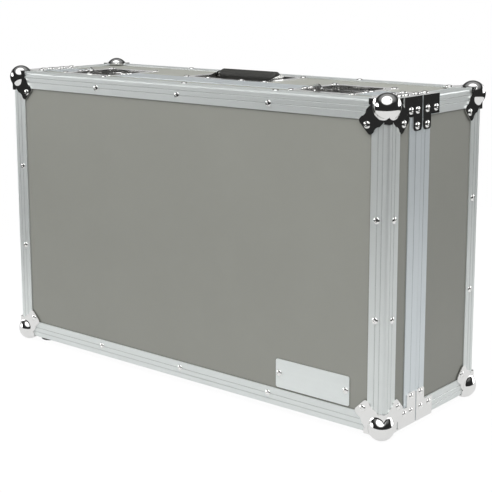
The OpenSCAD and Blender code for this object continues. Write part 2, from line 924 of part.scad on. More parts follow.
module handle_pocket() {
    at_handle() translate([0, flange_rim - fit, -handle_depth])
        linear_extrude(height = handle_depth + cut)
            plate_shape(handle_w - 2 * flange_rim + 2 * fit, handle_l - 2 * flange_rim + 2 * fit,
                        recess_round + fit);
}

// Half of a latch dish from the parting line towards +Y. Its end wall is low in the middle,
// where the hook passes, and rises in an upright eye for a padlock near one side.
eye_r = 8.3;
eye_inset = 10;                               // eye's centre inside the recess's side
eye_x = flange_rim + eye_inset - latch_w / 2;
eye_drop = 0.8;                               // eye's centre below the flange's underside
eye_hole_r = 4.2;
slot_gap = 1;                                 // room of the hook in the slot of the end walls

module half_dish(length, eye_side) {
    start = part_gap / 2;
    recess = latch_w - 2 * flange_rim;
    difference() {
        union() {
            translate([0, start, 0]) linear_extrude(height = dish_t)
                tray_shape(latch_w, length - start, flange_round);
            translate([0, start, -latch_depth - dish_t])
                linear_extrude(height = latch_depth + dish_t + dish_t / 2)
                    tray_shape(recess, length - start - flange_rim, recess_round);
        }
        translate([0, start + dish_t, -latch_depth])
            linear_extrude(height = latch_depth + dish_t + cut)
                tray_shape(recess - 2 * dish_t, length - start - 2 * dish_t - flange_rim,
                           recess_round - dish_t);
        translate([-hook_w / 2 - slot_gap, -cut, lip_low - slot_gap])
            cube([hook_w + 2 * slot_gap, dish_t + start + 2 * cut,
                  slot_gap - lip_low + dish_t + cut]);
        translate([eye_side * eye_x, 0, -eye_drop]) rotate([-90, 0, 0])
            cylinder(h = dish_t + start + cut, r = eye_hole_r);
    }
    translate([eye_side * eye_x, start, -eye_drop]) rotate([-90, 0, 0]) difference() {
        cylinder(h = dish_t, r = eye_r);
        translate([0, 0, -cut]) cylinder(h = dish_t + 2 * cut, r = eye_hole_r);
    }
}

module latch_dishes() {
    color("lightsteelblue") for (side = [-1, 1]) at_latch(side) half_dish(latch_base_l, 1);
}

module keeper_dishes() {
    color("lightsteelblue") for (side = [-1, 1]) at_latch(side)
        rotate(180) half_dish(latch_lid_l, -1);
}

// Rivets near the flange's corners, one pair by the parting line and one at the far end.
module flange_rivets(width, length) {
    for (s = [-1, 1], y = [7, length - flange_rim / 2 - 0.6])
        translate([s * (width / 2 - flange_rim / 2 - 0.1), y, dish_t]) rivet();
}

// ---------------------------------------------------------------- latch mechanism

post_y = (latch_base_l - flange_rim) / 2 + part_gap;     // post from the parting line
floor_z = -latch_depth;                       // top of the dish's floor
plate_t = 1.2;                                // plates on the floors
plate_z = floor_z + plate_t;
throw = hook_travel / 2;                      // eccentricity of the cam
yoke_gap = 0.13 * hook_travel;                // slack of the yoke slot on each side of the cam
carrier_z = plate_z + air + hook_drop;        // underside of the carrier in the raised position
yoke_side = 0.5;                              // room of the cam to the slot's ends
yoke_rim = 4;                                 // width of the carrier's frame before and behind
yoke_end = 3;                                 // width of the carrier's frame at its ends
carrier_w = 2 * (cam_r + throw + yoke_side + yoke_end);
yoke_y = post_y - throw;                      // middle of the yoke slot at rest
yoke_half = cam_r + yoke_gap;
drum_gap = 0.4;                               // gap of the drum over the carrier
drum_z = carrier_z + carrier_t + drum_gap;    // top of the eccentric, under the drum

wing_t = 2;
wing_pin_y = -6;                              // wing's hinge from the post's axis
wing_pin_z = -3.4;
wing_pin_r = 1.2;
wing_knuckle_r = 2.3;
wing_r = post_y - part_gap / 2 - dish_t - wing_gap;      // circle that the flat wing turns in
ear_x = [6.3, 9.2];                           // the drum's ears, from the middle outwards

arm_gap = 0.5;                                // gap of the arm under the flat wing
arm_z = wing_pin_z - wing_t / 2 - arm_gap - carrier_t;   // underside of the raised arm
keeper_y = 15;                                // far side of the keeper's lip from the parting line
hook_lip_t = 1.8;
lip_low = carrier_z + 0.2;                    // lower end of the hook's lip
keeper_top = lip_low - air;
keeper_lip_t = 1.6;
keeper_side = 5;                              // the keeper's plate beyond the hook on each side
keeper_step = 3;                              // the keeper's lip inside its plate on each side
keeper_l = 11;                                // length of the keeper's plate
stud_top = 1.4;                               // reach of the stud into the drum
stud_room = 0.2;                              // room over the stud's end

// The plate riveted to the dish's floor, with two rails that guide the hook's carrier.
module latch_guides() {
    rail = 1.5;
    inside = carrier_w / 2 + air;
    low = yoke_y - yoke_half - yoke_rim;
    high = yoke_y + yoke_half + yoke_rim + hook_travel;
    color("gray") for (side = [-1, 1]) at_latch(side) {
        difference() {
            slab([-inside - rail, low, floor_z], [inside + rail, high, plate_z]);
            translate([0, post_y, floor_z - cut]) cylinder(h = plate_t + 2 * cut, d = stud_d);
        }
        for (s = [false, true]) flip_x(s)
            slab([inside, low, floor_z], [inside + rail, high, carrier_z + carrier_t]);
    }
}

// The fixed stud that the cam turns on.
module latch_studs() {
    color("gray") for (side = [-1, 1]) at_latch(side)
        translate([0, post_y, floor_z]) cylinder(h = drum_z + stud_top - floor_z, d = stud_d);
}

// Post with the eccentric below, a drum above it and two ears for the wing's pin.
module latch_cam(side) {
    drum_top = wing_pin_z - wing_knuckle_r - 2 * air;
    drum_r = ear_x[1] + 0.4;
    bore = drum_z + stud_top + stud_room;
    sink = 0.01;                              // overlap that joins the drum to the eccentric
    color("gainsboro") at_latch(side) translate([0, post_y, 0]) difference() {
        union() {
            translate([0, -throw, plate_z + fit]) cylinder(h = drum_z - plate_z - fit, r = cam_r);
            translate([0, 0, drum_z - sink]) cylinder(h = drum_top - drum_z + sink, r = drum_r);
            for (s = [false, true]) flip_x(s) {
                slab([ear_x[0], wing_pin_y - wing_knuckle_r, drum_z],
                     [ear_x[1], wing_pin_y + wing_knuckle_r, wing_pin_z]);
                translate([ear_x[0], wing_pin_y, wing_pin_z]) rotate([0, 90, 0])
                    cylinder(h = ear_x[1] - ear_x[0], r = wing_knuckle_r);
            }
        }
        translate([0, 0, plate_z]) cylinder(h = bore - plate_z, d = stud_d + 2 * run_gap);
        translate([-ear_x[1] - cut, wing_pin_y, wing_pin_z]) rotate([0, 90, 0])
            cylinder(h = 2 * (ear_x[1] + cut), r = wing_pin_r);
    }
}

// The pin that the wing folds on.
module latch_pin(side) {
    color("gray") at_latch(side) translate([-ear_x[1], post_y + wing_pin_y, wing_pin_z])
        rotate([0, 90, 0]) cylinder(h = 2 * ear_x[1], r = wing_pin_r);
}

// The folding wing, flat in the dish: two round lobes and a knuckle on the pin.
module latch_wing(side) {
    lobe_r = 11;
    lobe_y = 5;
    lobe_x = sqrt(pow(wing_r - lobe_r, 2) - lobe_y * lobe_y);
    color("gainsboro") at_latch(side) translate([0, post_y, wing_pin_z]) difference() {
        union() {
            translate([0, 0, -wing_t / 2]) linear_extrude(height = wing_t) difference() {
                union() {
                    for (s = [-1, 1]) translate([s * lobe_x, lobe_y]) circle(r = lobe_r);
                    translate([-lobe_x, wing_pin_y]) square([2 * lobe_x, lobe_r + 7]);
                }
                translate([0, lobe_r + 9]) circle(r = 10);
                for (s = [-1, 1]) translate([s * (lobe_x + 1.5), lobe_y]) circle(r = 4);
                for (s = [false, true]) flip_x(s)
                    translate([ear_x[0] - air - 0.1, wing_pin_y - 9])
                        square([wing_r, 9 + 3.1]);
            }
            translate([-ear_x[0] + air, wing_pin_y, 0]) rotate([0, 90, 0])
                cylinder(h = 2 * (ear_x[0] - air), r = wing_knuckle_r);
        }
        translate([-wing_r, wing_pin_y, 0]) rotate([0, 90, 0])
            cylinder(h = 2 * wing_r, r = wing_pin_r + run_gap);
    }
}

// The hook: a carrier with the yoke slot, a raised arm and a lip turned down at its end.
module latch_hook(side) {
    front = yoke_y - yoke_half - yoke_rim;
    tip = -keeper_y - air - hook_travel - hook_lip_t;
    color("silver") at_latch(side) {
        difference() {
            slab([-carrier_w / 2, front, carrier_z],
                 [carrier_w / 2, yoke_y + yoke_half + yoke_rim, carrier_z + carrier_t]);
            slab([yoke_end - carrier_w / 2, yoke_y - yoke_half, carrier_z - cut],
                 [carrier_w / 2 - yoke_end, yoke_y + yoke_half, carrier_z + carrier_t + cut]);
        }
        slab([-hook_w / 2, front - carrier_t, carrier_z],
             [hook_w / 2, front, arm_z + carrier_t]);
        slab([-hook_w / 2, tip, arm_z], [hook_w / 2, front - carrier_t, arm_z + carrier_t]);
        slab([-hook_w / 2, tip, lip_low], [hook_w / 2, tip + hook_lip_t, arm_z]);
    }
}

// The keeper: a plate riveted to the lid dish's floor with a lip turned up.
module keepers() {
    half = hook_w / 2 + keeper_side;
    color("silver") for (side = [-1, 1]) at_latch(side) {
        slab([-half, -keeper_y, floor_z], [half, -keeper_y + keeper_l, floor_z + plate_t]);
        slab([-half + keeper_step, -keeper_y, floor_z + plate_t],
             [half - keeper_step, -keeper_y + keeper_lip_t, keeper_top]);
    }
}

module latch_left_cam() {
    latch_cam(-1);
}

module latch_right_cam() {
    latch_cam(1);
}

module latch_left_pin() {
    latch_pin(-1);
}

module latch_right_pin() {
    latch_pin(1);
}

module latch_left_wing() {
    latch_wing(-1);
}

module latch_right_wing() {
    latch_wing(1);
}

module latch_left_hook() {
    latch_hook(-1);
}

module latch_right_hook() {
    latch_hook(1);
}

// ---------------------------------------------------------------- carrying handle

pivot_y = 28;                                 // bail's pivot behind the flange's front edge
pivot_z = -7.5;                               // bail's pivot from the dish's seat
arm_x = [grip_len / 2 + 3, grip_len / 2 + 6]; // the bail's arms
arm_w = 11;
bracket_x = [arm_x[1] + 1, arm_x[1] + 6];
pin_r = bail_pin_d / 2;
bail_reach = handle_l - flange_rim - dish_t - grip_room - grip_d / 2 - pivot_y;
arm_a = atan2(grip_z - pivot_z, bail_reach);  // slope of the resting arms
arm_len = norm([grip_z - pivot_z, bail_reach]);

module handle_dish() {
    recess_w = handle_w - 2 * flange_rim;
    recess_l = handle_l - 2 * flange_rim;
    color("lightsteelblue") at_handle() difference() {
        union() {
            linear_extrude(height = dish_t) plate_shape(handle_w, handle_l, flange_round);
            translate([0, flange_rim, -handle_depth - dish_t])
                linear_extrude(height = handle_depth + dish_t + dish_t / 2)
                    plate_shape(recess_w, recess_l, recess_round);
        }
        translate([0, flange_rim + dish_t, -handle_depth])
            linear_extrude(height = handle_depth + dish_t + cut)
                plate_shape(recess_w - 2 * dish_t, recess_l - 2 * dish_t, recess_round - dish_t);
    }
}

module at_pivot() {
    at_handle() translate([0, pivot_y, pivot_z]) children();
}

// The two brackets that carry the bail's pins, each with a stop under the resting arm.
module handle_brackets() {
    floor_h = handle_depth + pivot_z;         // pivot above the dish's floor
    half = 7;
    stop_y = 10;
    stop_top = stop_y * tan(arm_a) - arm_w / 2 / cos(arm_a) - air;
    color("gray") at_pivot() for (s = [false, true]) flip_x(s) {
        difference() {
            union() {
                slab([bracket_x[0], -half, -floor_h], [bracket_x[1], half, 0]);
                translate([bracket_x[0], 0, 0]) rotate([0, 90, 0])
                    cylinder(h = bracket_x[1] - bracket_x[0], r = half);
            }
            translate([bracket_x[0] - cut, 0, 0]) rotate([0, 90, 0])
                cylinder(h = bracket_x[1] - bracket_x[0] + 2 * cut, r = pin_r);
        }
        slab([arm_x[0], stop_y, -floor_h], [bracket_x[1], stop_y + 4, stop_top]);
        slab([bracket_x[0], half, -floor_h], [bracket_x[1], stop_y, stop_top]);
    }
}

module handle_pins() {
    head = 1.5;
    color("silver") at_pivot() for (s = [false, true]) flip_x(s)
        translate([arm_x[0] - air - head, 0, 0]) rotate([0, 90, 0]) {
            cylinder(h = head, r = pin_r + 1.5);
            cylinder(h = bracket_x[1] + 0.8 - arm_x[0] + air + head, r = pin_r);
        }
}

// The bail: a round rod between two flat arms that turn on the pins.
module handle_bail() {
    color("silver") at_pivot() {
        for (s = [false, true]) flip_x(s) difference() {
            translate([arm_x[0], 0, 0]) rotate([arm_a, 0, 0]) {
                slab([0, 0, -arm_w / 2], [arm_x[1] - arm_x[0], arm_len, arm_w / 2]);
                for (y = [0, arm_len]) translate([0, y, 0]) rotate([0, 90, 0])
                    cylinder(h = arm_x[1] - arm_x[0], d = arm_w);
            }
            rotate([0, 90, 0]) cylinder(h = bracket_x[1], r = pin_r + run_gap);
        }
        translate([-arm_x[0], bail_reach, grip_z - pivot_z]) rotate([0, 90, 0])
            cylinder(h = 2 * arm_x[0], d = bail_d);
    }
}

// The rubber grip: a thick tube on the rod with rounded ends.
module handle_grip() {
    half = grip_len / 2;
    r = grip_d / 2;
    edge = 3.5;
    color("darkslategray") at_pivot() translate([0, bail_reach, grip_z - pivot_z])
        rotate([0, 90, 0]) rotate_extrude() polygon(concat(
            [[bail_d / 2, -half]],
            arc_pts([r - edge, -half + edge], edge, -90, 0, 4),
            arc_pts([r - edge, half - edge], edge, 0, 90, 4),
            [[bail_d / 2, half]]));
}

module handle_rivets() {
    inset = flange_rim / 2 + 0.4;
    for (s = [-1, 1], y = [inset, handle_l - inset])
        translate([s * (handle_w / 2 - inset), y, dish_t]) rivet();
    for (s = [-1, 1], y = [inset, handle_l - inset])
        translate([s * handle_w / 5, y, dish_t]) rivet();
}

// ---------------------------------------------------------------- name plate

name_t = 1;

module at_name() {
    translate([half_w - name_x - name_w / 2, -half_d + trim_t, foot_h + name_z])
        out_front() children();
}

module name_plate() {
    color("gainsboro") at_name() linear_extrude(height = name_t) plate_shape(name_w, name_h, 3);
}

module name_rivets() {
    for (s = [-1, 1])
        at_name() translate([s * (name_w / 2 - 6), name_h / 2, name_t]) rivet();
}

// ---------------------------------------------------------------- pieces

base_back_panel();
base_top_panel();
base_bottom_panel();
base_left_panel();
base_right_panel();
base_long_trim();
base_upright_trim();
base_depth_trim();
base_closing_rim();
base_ball_corners();
base_rim_braces();
base_foam_pad();
base_foam_walls();
base_foam_top();
base_feet();
base_foot_screws();
base_rivets();
base_hinge_leaves();
hinge_pins();
handle_dish();
handle_brackets();
handle_pins();
handle_bail();
handle_grip();
latch_dishes();
latch_guides();
latch_studs();
latch_left_cam();
latch_left_pin();
latch_left_wing();
latch_left_hook();
latch_right_cam();
latch_right_pin();
latch_right_wing();
latch_right_hook();
lid_front_panel();
lid_top_panel();
lid_bottom_panel();
lid_left_panel();
lid_right_panel();
lid_long_trim();
lid_upright_trim();
lid_depth_trim();
lid_closing_rim();
lid_ball_corners();
lid_rim_braces();
lid_foam_pad();
lid_foam_walls();
lid_foam_top();
lid_feet();
lid_foot_screws();
lid_rivets();
lid_hinge_leaves();
keeper_dishes();
keepers();
name_plate();
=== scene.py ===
"""Looks of an upright flight case: laminate, aluminium edging, chromed corners, foam and rubber."""

import math

import bmesh
import bpy
import numpy as np
from bpy.props import FloatProperty, FloatVectorProperty, IntProperty, PointerProperty
from mathutils import Matrix, Vector


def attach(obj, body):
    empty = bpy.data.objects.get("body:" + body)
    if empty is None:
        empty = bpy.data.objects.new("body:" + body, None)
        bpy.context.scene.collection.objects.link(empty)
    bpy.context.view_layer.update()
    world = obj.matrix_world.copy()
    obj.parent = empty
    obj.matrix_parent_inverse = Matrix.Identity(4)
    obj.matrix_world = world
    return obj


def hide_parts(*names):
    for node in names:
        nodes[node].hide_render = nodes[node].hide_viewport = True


bl_info = {
    "name": "Flight case finish",
    "version": (1, 0, 0),
    "blender": (4, 5, 0),
    "location": "View3D > Sidebar > Flight Case",
    "description": "Finishes, foam lining and studio for an upright flight case",
    "category": "Object",
}

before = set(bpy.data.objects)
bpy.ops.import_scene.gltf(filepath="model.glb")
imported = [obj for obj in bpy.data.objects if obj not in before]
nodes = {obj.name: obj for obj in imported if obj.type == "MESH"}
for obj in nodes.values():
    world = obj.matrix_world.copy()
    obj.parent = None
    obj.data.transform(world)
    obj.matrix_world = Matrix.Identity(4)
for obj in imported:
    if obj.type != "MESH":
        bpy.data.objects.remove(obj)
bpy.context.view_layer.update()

# Half of the case's width and height over its trims, and the height of its middle.
HALF_WIDTH = 0.361
HALF_HEIGHT = 0.22
MIDDLE_HEIGHT = 0.231

# Distance at which neighbouring points count as one.
MERGE_DISTANCE = 1e-6

# Foam boards: power of the crown's fall, and the share of a half size past which a point
# belongs to that side.
CROWN_POWER = 4
SIDE_SHARE = 0.98

# Noise in the drawn lines per metre, along the bar, along the name plate and across both.
LINES_ALONG = 3.0
PLATE_LINES_ALONG = 4.0
LINES_ACROSS = 900.0

# Painted shade in narrow places: how far away a neighbouring face counts, samples and contrast.
GROOVE_REACH = 0.0022
LAMINATE_SEAM_REACH = 0.003
CREASE_SHADE_SAMPLES = 6
CREASE_SHADE_CONTRAST = 1.6

RIVET_STEEL = (0.86, 0.86, 0.85)


# ------------------------------------------------------------------ settings


def colour(name, default, description):
    """A colour setting with its label, default and description."""
    return FloatVectorProperty(
        name=name,
        description=description,
        subtype="COLOR",
        size=3,
        min=0.0,
        max=1.0,
        default=default,
    )


class CaseFinishSettings(bpy.types.PropertyGroup):
    """Colours and surface finish of the case's materials."""

    laminate: colour("Laminate", (0.248, 0.251, 0.226), "Colour of the panels' laminate")
    laminate_grain: FloatProperty(
        name="Laminate Grain",
        description="Size of the laminate's fine texture",
        default=0.0009,
        min=0.0003,
        max=0.004,
        precision=4,
        unit="LENGTH",
    )
    laminate_roughness: FloatProperty(
        name="Laminate Roughness",
        description="How matt the laminate is",
        default=0.46,
        min=0.1,
        max=1.0,
        subtype="FACTOR",
    )
    aluminium: colour("Aluminium", (0.775, 0.81, 0.8), "Colour of the anodised edge trims")
    rim_aluminium: colour("Rim Aluminium", (0.735, 0.785, 0.81), "Colour of the closing rims")
    aluminium_roughness: FloatProperty(
        name="Aluminium Roughness",
        description="How matt the anodised trims are",
        default=0.42,
        min=0.05,
        max=0.8,
        subtype="FACTOR",
    )
    chrome: colour("Chrome", (0.84, 0.84, 0.83), "Colour of the corners and braces")
    zinc: colour("Zinc", (0.70, 0.70, 0.68), "Colour of plated hinges, hooks and brackets")
    rubber: colour("Rubber", (0.022, 0.022, 0.02), "Colour of the feet and the grip")
    foam: colour("Foam", (0.045, 0.047, 0.05), "Colour of the foam lining")


class FoamSettings(bpy.types.PropertyGroup):
    """Shape of the foam boards that line the case."""

    rounding: FloatProperty(
        name="Edge Rounding",
        description="Radius of the foam boards' edges",
        default=0.0035,
        min=0.0005,
        max=0.005,
        precision=4,
        unit="LENGTH",
    )
    crown: FloatProperty(
        name="Crown",
        description="How far the foam stands fuller in the middle than at its edges",
        default=0.0006,
        min=0.0,
        max=0.002,
        precision=4,
        unit="LENGTH",
    )
    cells: IntProperty(
        name="Cells",
        description="Grid cells along each side of a board's face",
        default=24,
        min=8,
        max=80,
    )


class StudioSettings(bpy.types.PropertyGroup):
    """Floor, lights and camera."""

    floor_radius: FloatProperty(
        name="Floor Radius",
        description="Radius of the white floor",
        default=1.2,
        min=0.7,
        max=6.0,
        unit="LENGTH",
    )
    surround: FloatProperty(
        name="Dark Surround",
        description="Brightness of the dark studio that the metal reflects",
        default=0.025,
        min=0.0,
        max=1.0,
        subtype="FACTOR",
    )
    floor_shift: FloatVectorProperty(
        name="Floor Shift",
        description="Place of the floor's middle, to the right of and behind the case",
        size=2,
        default=(0.2, 0.3),
        subtype="XYZ",
        unit="LENGTH",
    )
    floor_glow: FloatProperty(
        name="Floor Glow",
        description="Brightness of the white floor as the metal reflects it",
        default=0.88,
        min=0.0,
    )
    walls: FloatProperty(
        name="White Walls",
        description="Brightness of the white walls that the metal reflects",
        default=1.0,
        min=0.0,
        max=4.0,
    )
    ceiling: FloatProperty(
        name="Ceiling",
        description="Brightness of the ceiling that the metal reflects",
        default=0.3,
        min=0.0,
        max=1.0,
    )
    overhead: FloatProperty(
        name="Overhead Softbox",
        description="Brightness of the softbox over the camera, as the metal reflects it",
        default=1.8,
        min=0.0,
    )
    ambient: FloatProperty(
        name="Ambient",
        description="Strength of the even light from all sides",
        default=0.3,
        min=0.0,
        max=2.0,
    )
    key_power: FloatProperty(
        name="Key Light",
        description="Power of the large round softbox above the camera",
        default=89.0,
        min=0.0,
        max=400.0,
        unit="POWER",
    )
    fill_power: FloatProperty(
        name="Fill Light",
        description="Power of the softbox on the left",
        default=14.0,
        min=0.0,
        max=400.0,
        unit="POWER",
    )
    back_power: FloatProperty(
        name="Back Light",
        description="Power of the softbox behind the case",
        default=45.0,
        min=0.0,
        unit="POWER",
    )
    lens: FloatProperty(
        name="Focal Length",
        description="Focal length of the camera in millimetres",
        default=87.6,
        min=20.0,
        max=200.0,
    )


def finish_settings():
    """The colours and finishes that the materials take."""
    return bpy.context.scene.case_finish


# ------------------------------------------------------------------ surfaces


def grid_faces(rows, columns, start=0):
    """Quads of a rows by columns grid of points, numbered row by row from start."""
    index = start + np.arange(rows * columns).reshape(rows, columns)
    corners = (index[:-1, :-1], index[:-1, 1:], index[1:, 1:], index[1:, :-1])
    return np.stack(corners, axis=-1).reshape(-1, 4)


def mesh_from_grids(name, grids):
    """A mesh of several grids of points, each with its own quads."""
    points, faces, count = [], [], 0
    for grid in grids:
        rows, columns, _ = grid.shape
        points.append(grid.reshape(-1, 3))
        faces.append(grid_faces(rows, columns, count))
        count += rows * columns
    mesh = bpy.data.meshes.new(name)
    mesh.from_pydata(np.concatenate(points).tolist(), [], np.concatenate(faces).tolist())
    return mesh


def smooth_object(name, mesh, material):
    """A smooth object of a mesh and a material, linked to the scene."""
    mesh.shade_smooth()
    mesh.materials.append(material)
    piece = bpy.data.objects.new(name, mesh)
    bpy.context.scene.collection.objects.link(piece)
    return piece


def piece_from_grids(name, grids, material, body):
    """One piece from several grids of points, with their shared edges merged."""
    mesh = mesh_from_grids(name, grids)
    work = bmesh.new()
    work.from_mesh(mesh)
    bmesh.ops.remove_doubles(work, verts=work.verts, dist=MERGE_DISTANCE)
    bmesh.ops.recalc_face_normals(work, faces=work.faces)
    work.to_mesh(mesh)
    work.free()
    piece = smooth_object(name, mesh, material)
    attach(piece, body)
    return piece


def rounded_board(low, high, rounding, crown, cells):
    """Six grids of a foam board.

    A point on the box's surface is drawn in to the box that is smaller by the rounding, and put
    back along the line from there by the rounding, so the edges are round. A point on a side
    is then sunk by the crown times a power of its distance from the side's middle, as a share
    of the half size along the side's farther direction. The board is fuller in the middle and
    stays inside the box.
    """
    low, high = np.array(low), np.array(high)
    centre, half = (low + high) / 2, (high - low) / 2
    core = half - rounding
    line = np.sin(np.linspace(-1, 1, cells) * math.pi / 2)
    u, v = np.meshgrid(line, line, indexing="ij")
    grids = []
    for axis in range(3):
        for side in (-1, 1):
            unit = np.empty(u.shape + (3,))
            unit[..., axis] = side
            unit[..., (axis + 1) % 3] = u
            unit[..., (axis + 2) % 3] = v
            spot = unit * half
            inside = np.clip(spot, -core, core)
            offset = spot - inside
            length = np.linalg.norm(offset, axis=-1, keepdims=True)
            spot = inside + offset / np.maximum(length, 1e-9) * rounding
            far = np.abs(spot) / half
            sink = crown * np.sort(far, axis=-1)[..., 1:2] ** CROWN_POWER
            spot -= np.sign(spot) * sink * (far > SIDE_SHARE)
            grids.append(centre + spot)
    return grids


def loose_boxes(node):
    """Lowest and highest corner of each separate solid in a CAD node."""
    work = bmesh.new()
    work.from_mesh(nodes[node].data)
    bmesh.ops.remove_doubles(work, verts=work.verts, dist=MERGE_DISTANCE)
    boxes, waiting = [], set(work.verts)
    while waiting:
        island, edge = set(), [waiting.pop()]
        while edge:
            vert = edge.pop()
            island.add(vert)
            for link in vert.link_edges:
                other = link.other_vert(vert)
                if other in waiting:
                    waiting.remove(other)
                    edge.append(other)
        spots = np.array([vert.co for vert in island])
        boxes.append((spots.min(axis=0), spots.max(axis=0)))
    work.free()
    return boxes


# ------------------------------------------------------------------ shader groups


def shader_group(name, inputs, outputs):
    """A new shader node group with its named sockets, and its input and output nodes."""
    tree = bpy.data.node_groups.new(name, "ShaderNodeTree")
    for label, kind, value in inputs:
        socket = tree.interface.new_socket(label, in_out="INPUT", socket_type=kind)
        if value is not None:
            socket.default_value = value
    for label, kind in outputs:
        tree.interface.new_socket(label, in_out="OUTPUT", socket_type=kind)
    return tree, tree.nodes.new("NodeGroupInput"), tree.nodes.new("NodeGroupOutput")


def math_node(tree, operation, first, second=None, third=None):
    """A Math node whose inputs are sockets or numbers. Gives its output socket."""
    node = tree.nodes.new("ShaderNodeMath")
    node.operation = operation
    for spot, value in enumerate((first, second, third)):
        if value is None:
            continue
        if isinstance(value, bpy.types.NodeSocket):
            tree.links.new(value, node.inputs[spot])
        else:
            node.inputs[spot].default_value = value
    return node.outputs[0]


def scaled(tree, value, factor, offset):
    """A value times a factor, plus an offset."""
    return math_node(tree, "MULTIPLY_ADD", value, factor, offset)


def clamped(tree, value):
    """A value held between 0 and 1."""
    return math_node(tree, "MINIMUM", math_node(tree, "MAXIMUM", value, 0.0), 1.0)


def noise_node(tree, vector, scale, detail=3.0, roughness=0.55):
    """Noise at a vector times a scale. Gives a value about 0.5."""
    node = tree.nodes.new("ShaderNodeTexNoise")
    tree.links.new(vector, node.inputs["Vector"])
    node.inputs["Scale"].default_value = scale
    node.inputs["Detail"].default_value = detail
    node.inputs["Roughness"].default_value = roughness
    return node.outputs["Fac"]


def scaled_vector(tree, vector, scale):
    """A vector times a scale, which is three numbers or a socket."""
    node = tree.nodes.new("ShaderNodeVectorMath")
    node.operation = "MULTIPLY"
    tree.links.new(vector, node.inputs[0])
    if isinstance(scale, bpy.types.NodeSocket):
        tree.links.new(scale, node.inputs[1])
    else:
        node.inputs[1].default_value = scale
    return node.outputs[0]


def mix_colours(tree, factor, first, second):
    """A Mix node for colours, whose inputs are sockets or values. Gives its result."""
    node = tree.nodes.new("ShaderNodeMix")
    node.data_type = "RGBA"
    for spot, value in ((0, factor), (6, first), (7, second)):
        if isinstance(value, bpy.types.NodeSocket):
            tree.links.new(value, node.inputs[spot])
        elif spot == 0:
            node.inputs[spot].default_value = value
        else:
            node.inputs[spot].default_value = (*value[:3], 1.0)
    return node.outputs[2]


def fine_grain_group():
    """Grain: small cells mixed with noise, for laminate, rubber and foam.

    The height is the distance to the nearest cell times the cell share, plus noise times the
    rest. The mask is broad noise, spread and held between 0 and 1.
    """
    tree, source, result = shader_group(
        "Fine grain",
        [
            ("Vector", "NodeSocketVector", None),
            ("Scale", "NodeSocketFloat", 900.0),
            ("Cell Share", "NodeSocketFloat", 0.5),
        ],
        [("Height", "NodeSocketFloat"), ("Mask", "NodeSocketFloat")],
    )
    cells = tree.nodes.new("ShaderNodeTexVoronoi")
    cells.feature = "SMOOTH_F1"
    cells.inputs["Smoothness"].default_value = 0.6
    noise = tree.nodes.new("ShaderNodeTexNoise")
    noise.inputs["Detail"].default_value = 2.0
    for node in (cells, noise):
        tree.links.new(source.outputs["Vector"], node.inputs["Vector"])
        tree.links.new(source.outputs["Scale"], node.inputs["Scale"])
    share = source.outputs["Cell Share"]
    rest = math_node(tree, "SUBTRACT", 1.0, share)
    height = math_node(
        tree,
        "ADD",
        math_node(tree, "MULTIPLY", cells.outputs["Distance"], share),
        math_node(tree, "MULTIPLY", noise.outputs["Fac"], rest),
    )
    tree.links.new(height, result.inputs["Height"])
    broad = noise_node(tree, source.outputs["Vector"], scale=7.0, detail=4.0)
    spread = scaled(tree, broad, factor=2.2, offset=-0.6)
    tree.links.new(clamped(tree, spread), result.inputs["Mask"])
    return tree


def drawn_lines_group():
    """Drawn lines: noise stretched along the bar, as an extrusion die or a brush leaves it."""
    tree, source, result = shader_group(
        "Drawn lines",
        [
            ("Vector", "NodeSocketVector", None),
            ("Stretch", "NodeSocketVector", (LINES_ALONG, LINES_ACROSS, LINES_ACROSS)),
        ],
        [("Height", "NodeSocketFloat"), ("Mask", "NodeSocketFloat")],
    )
    stretched = scaled_vector(tree, source.outputs["Vector"], source.outputs["Stretch"])
    fine = noise_node(tree, stretched, scale=1.0, detail=2.0)
    broad = noise_node(tree, stretched, scale=0.23, detail=3.0)
    tree.links.new(fine, result.inputs["Height"])
    tree.links.new(broad, result.inputs["Mask"])
    return tree


def handling_group():
    """Handling: smudges in broad patches with small scratches, for all but the foam.

    The mask is broad noise, spread and held between 0 and 1, times fine noise and the amount.
    """
    tree, source, result = shader_group(
        "Handling marks",
        [("Vector", "NodeSocketVector", None), ("Amount", "NodeSocketFloat", 0.5)],
        [("Mask", "NodeSocketFloat")],
    )
    where = source.outputs["Vector"]
    broad = noise_node(tree, where, scale=22.0, detail=5.0, roughness=0.6)
    fine = noise_node(tree, where, scale=260.0, detail=3.0, roughness=0.7)
    patches = clamped(tree, scaled(tree, broad, factor=4.0, offset=-2.0))
    mask = math_node(tree, "MULTIPLY", patches, fine)
    tree.links.new(math_node(tree, "MULTIPLY", mask, source.outputs["Amount"]),
                   result.inputs["Mask"])
    return tree


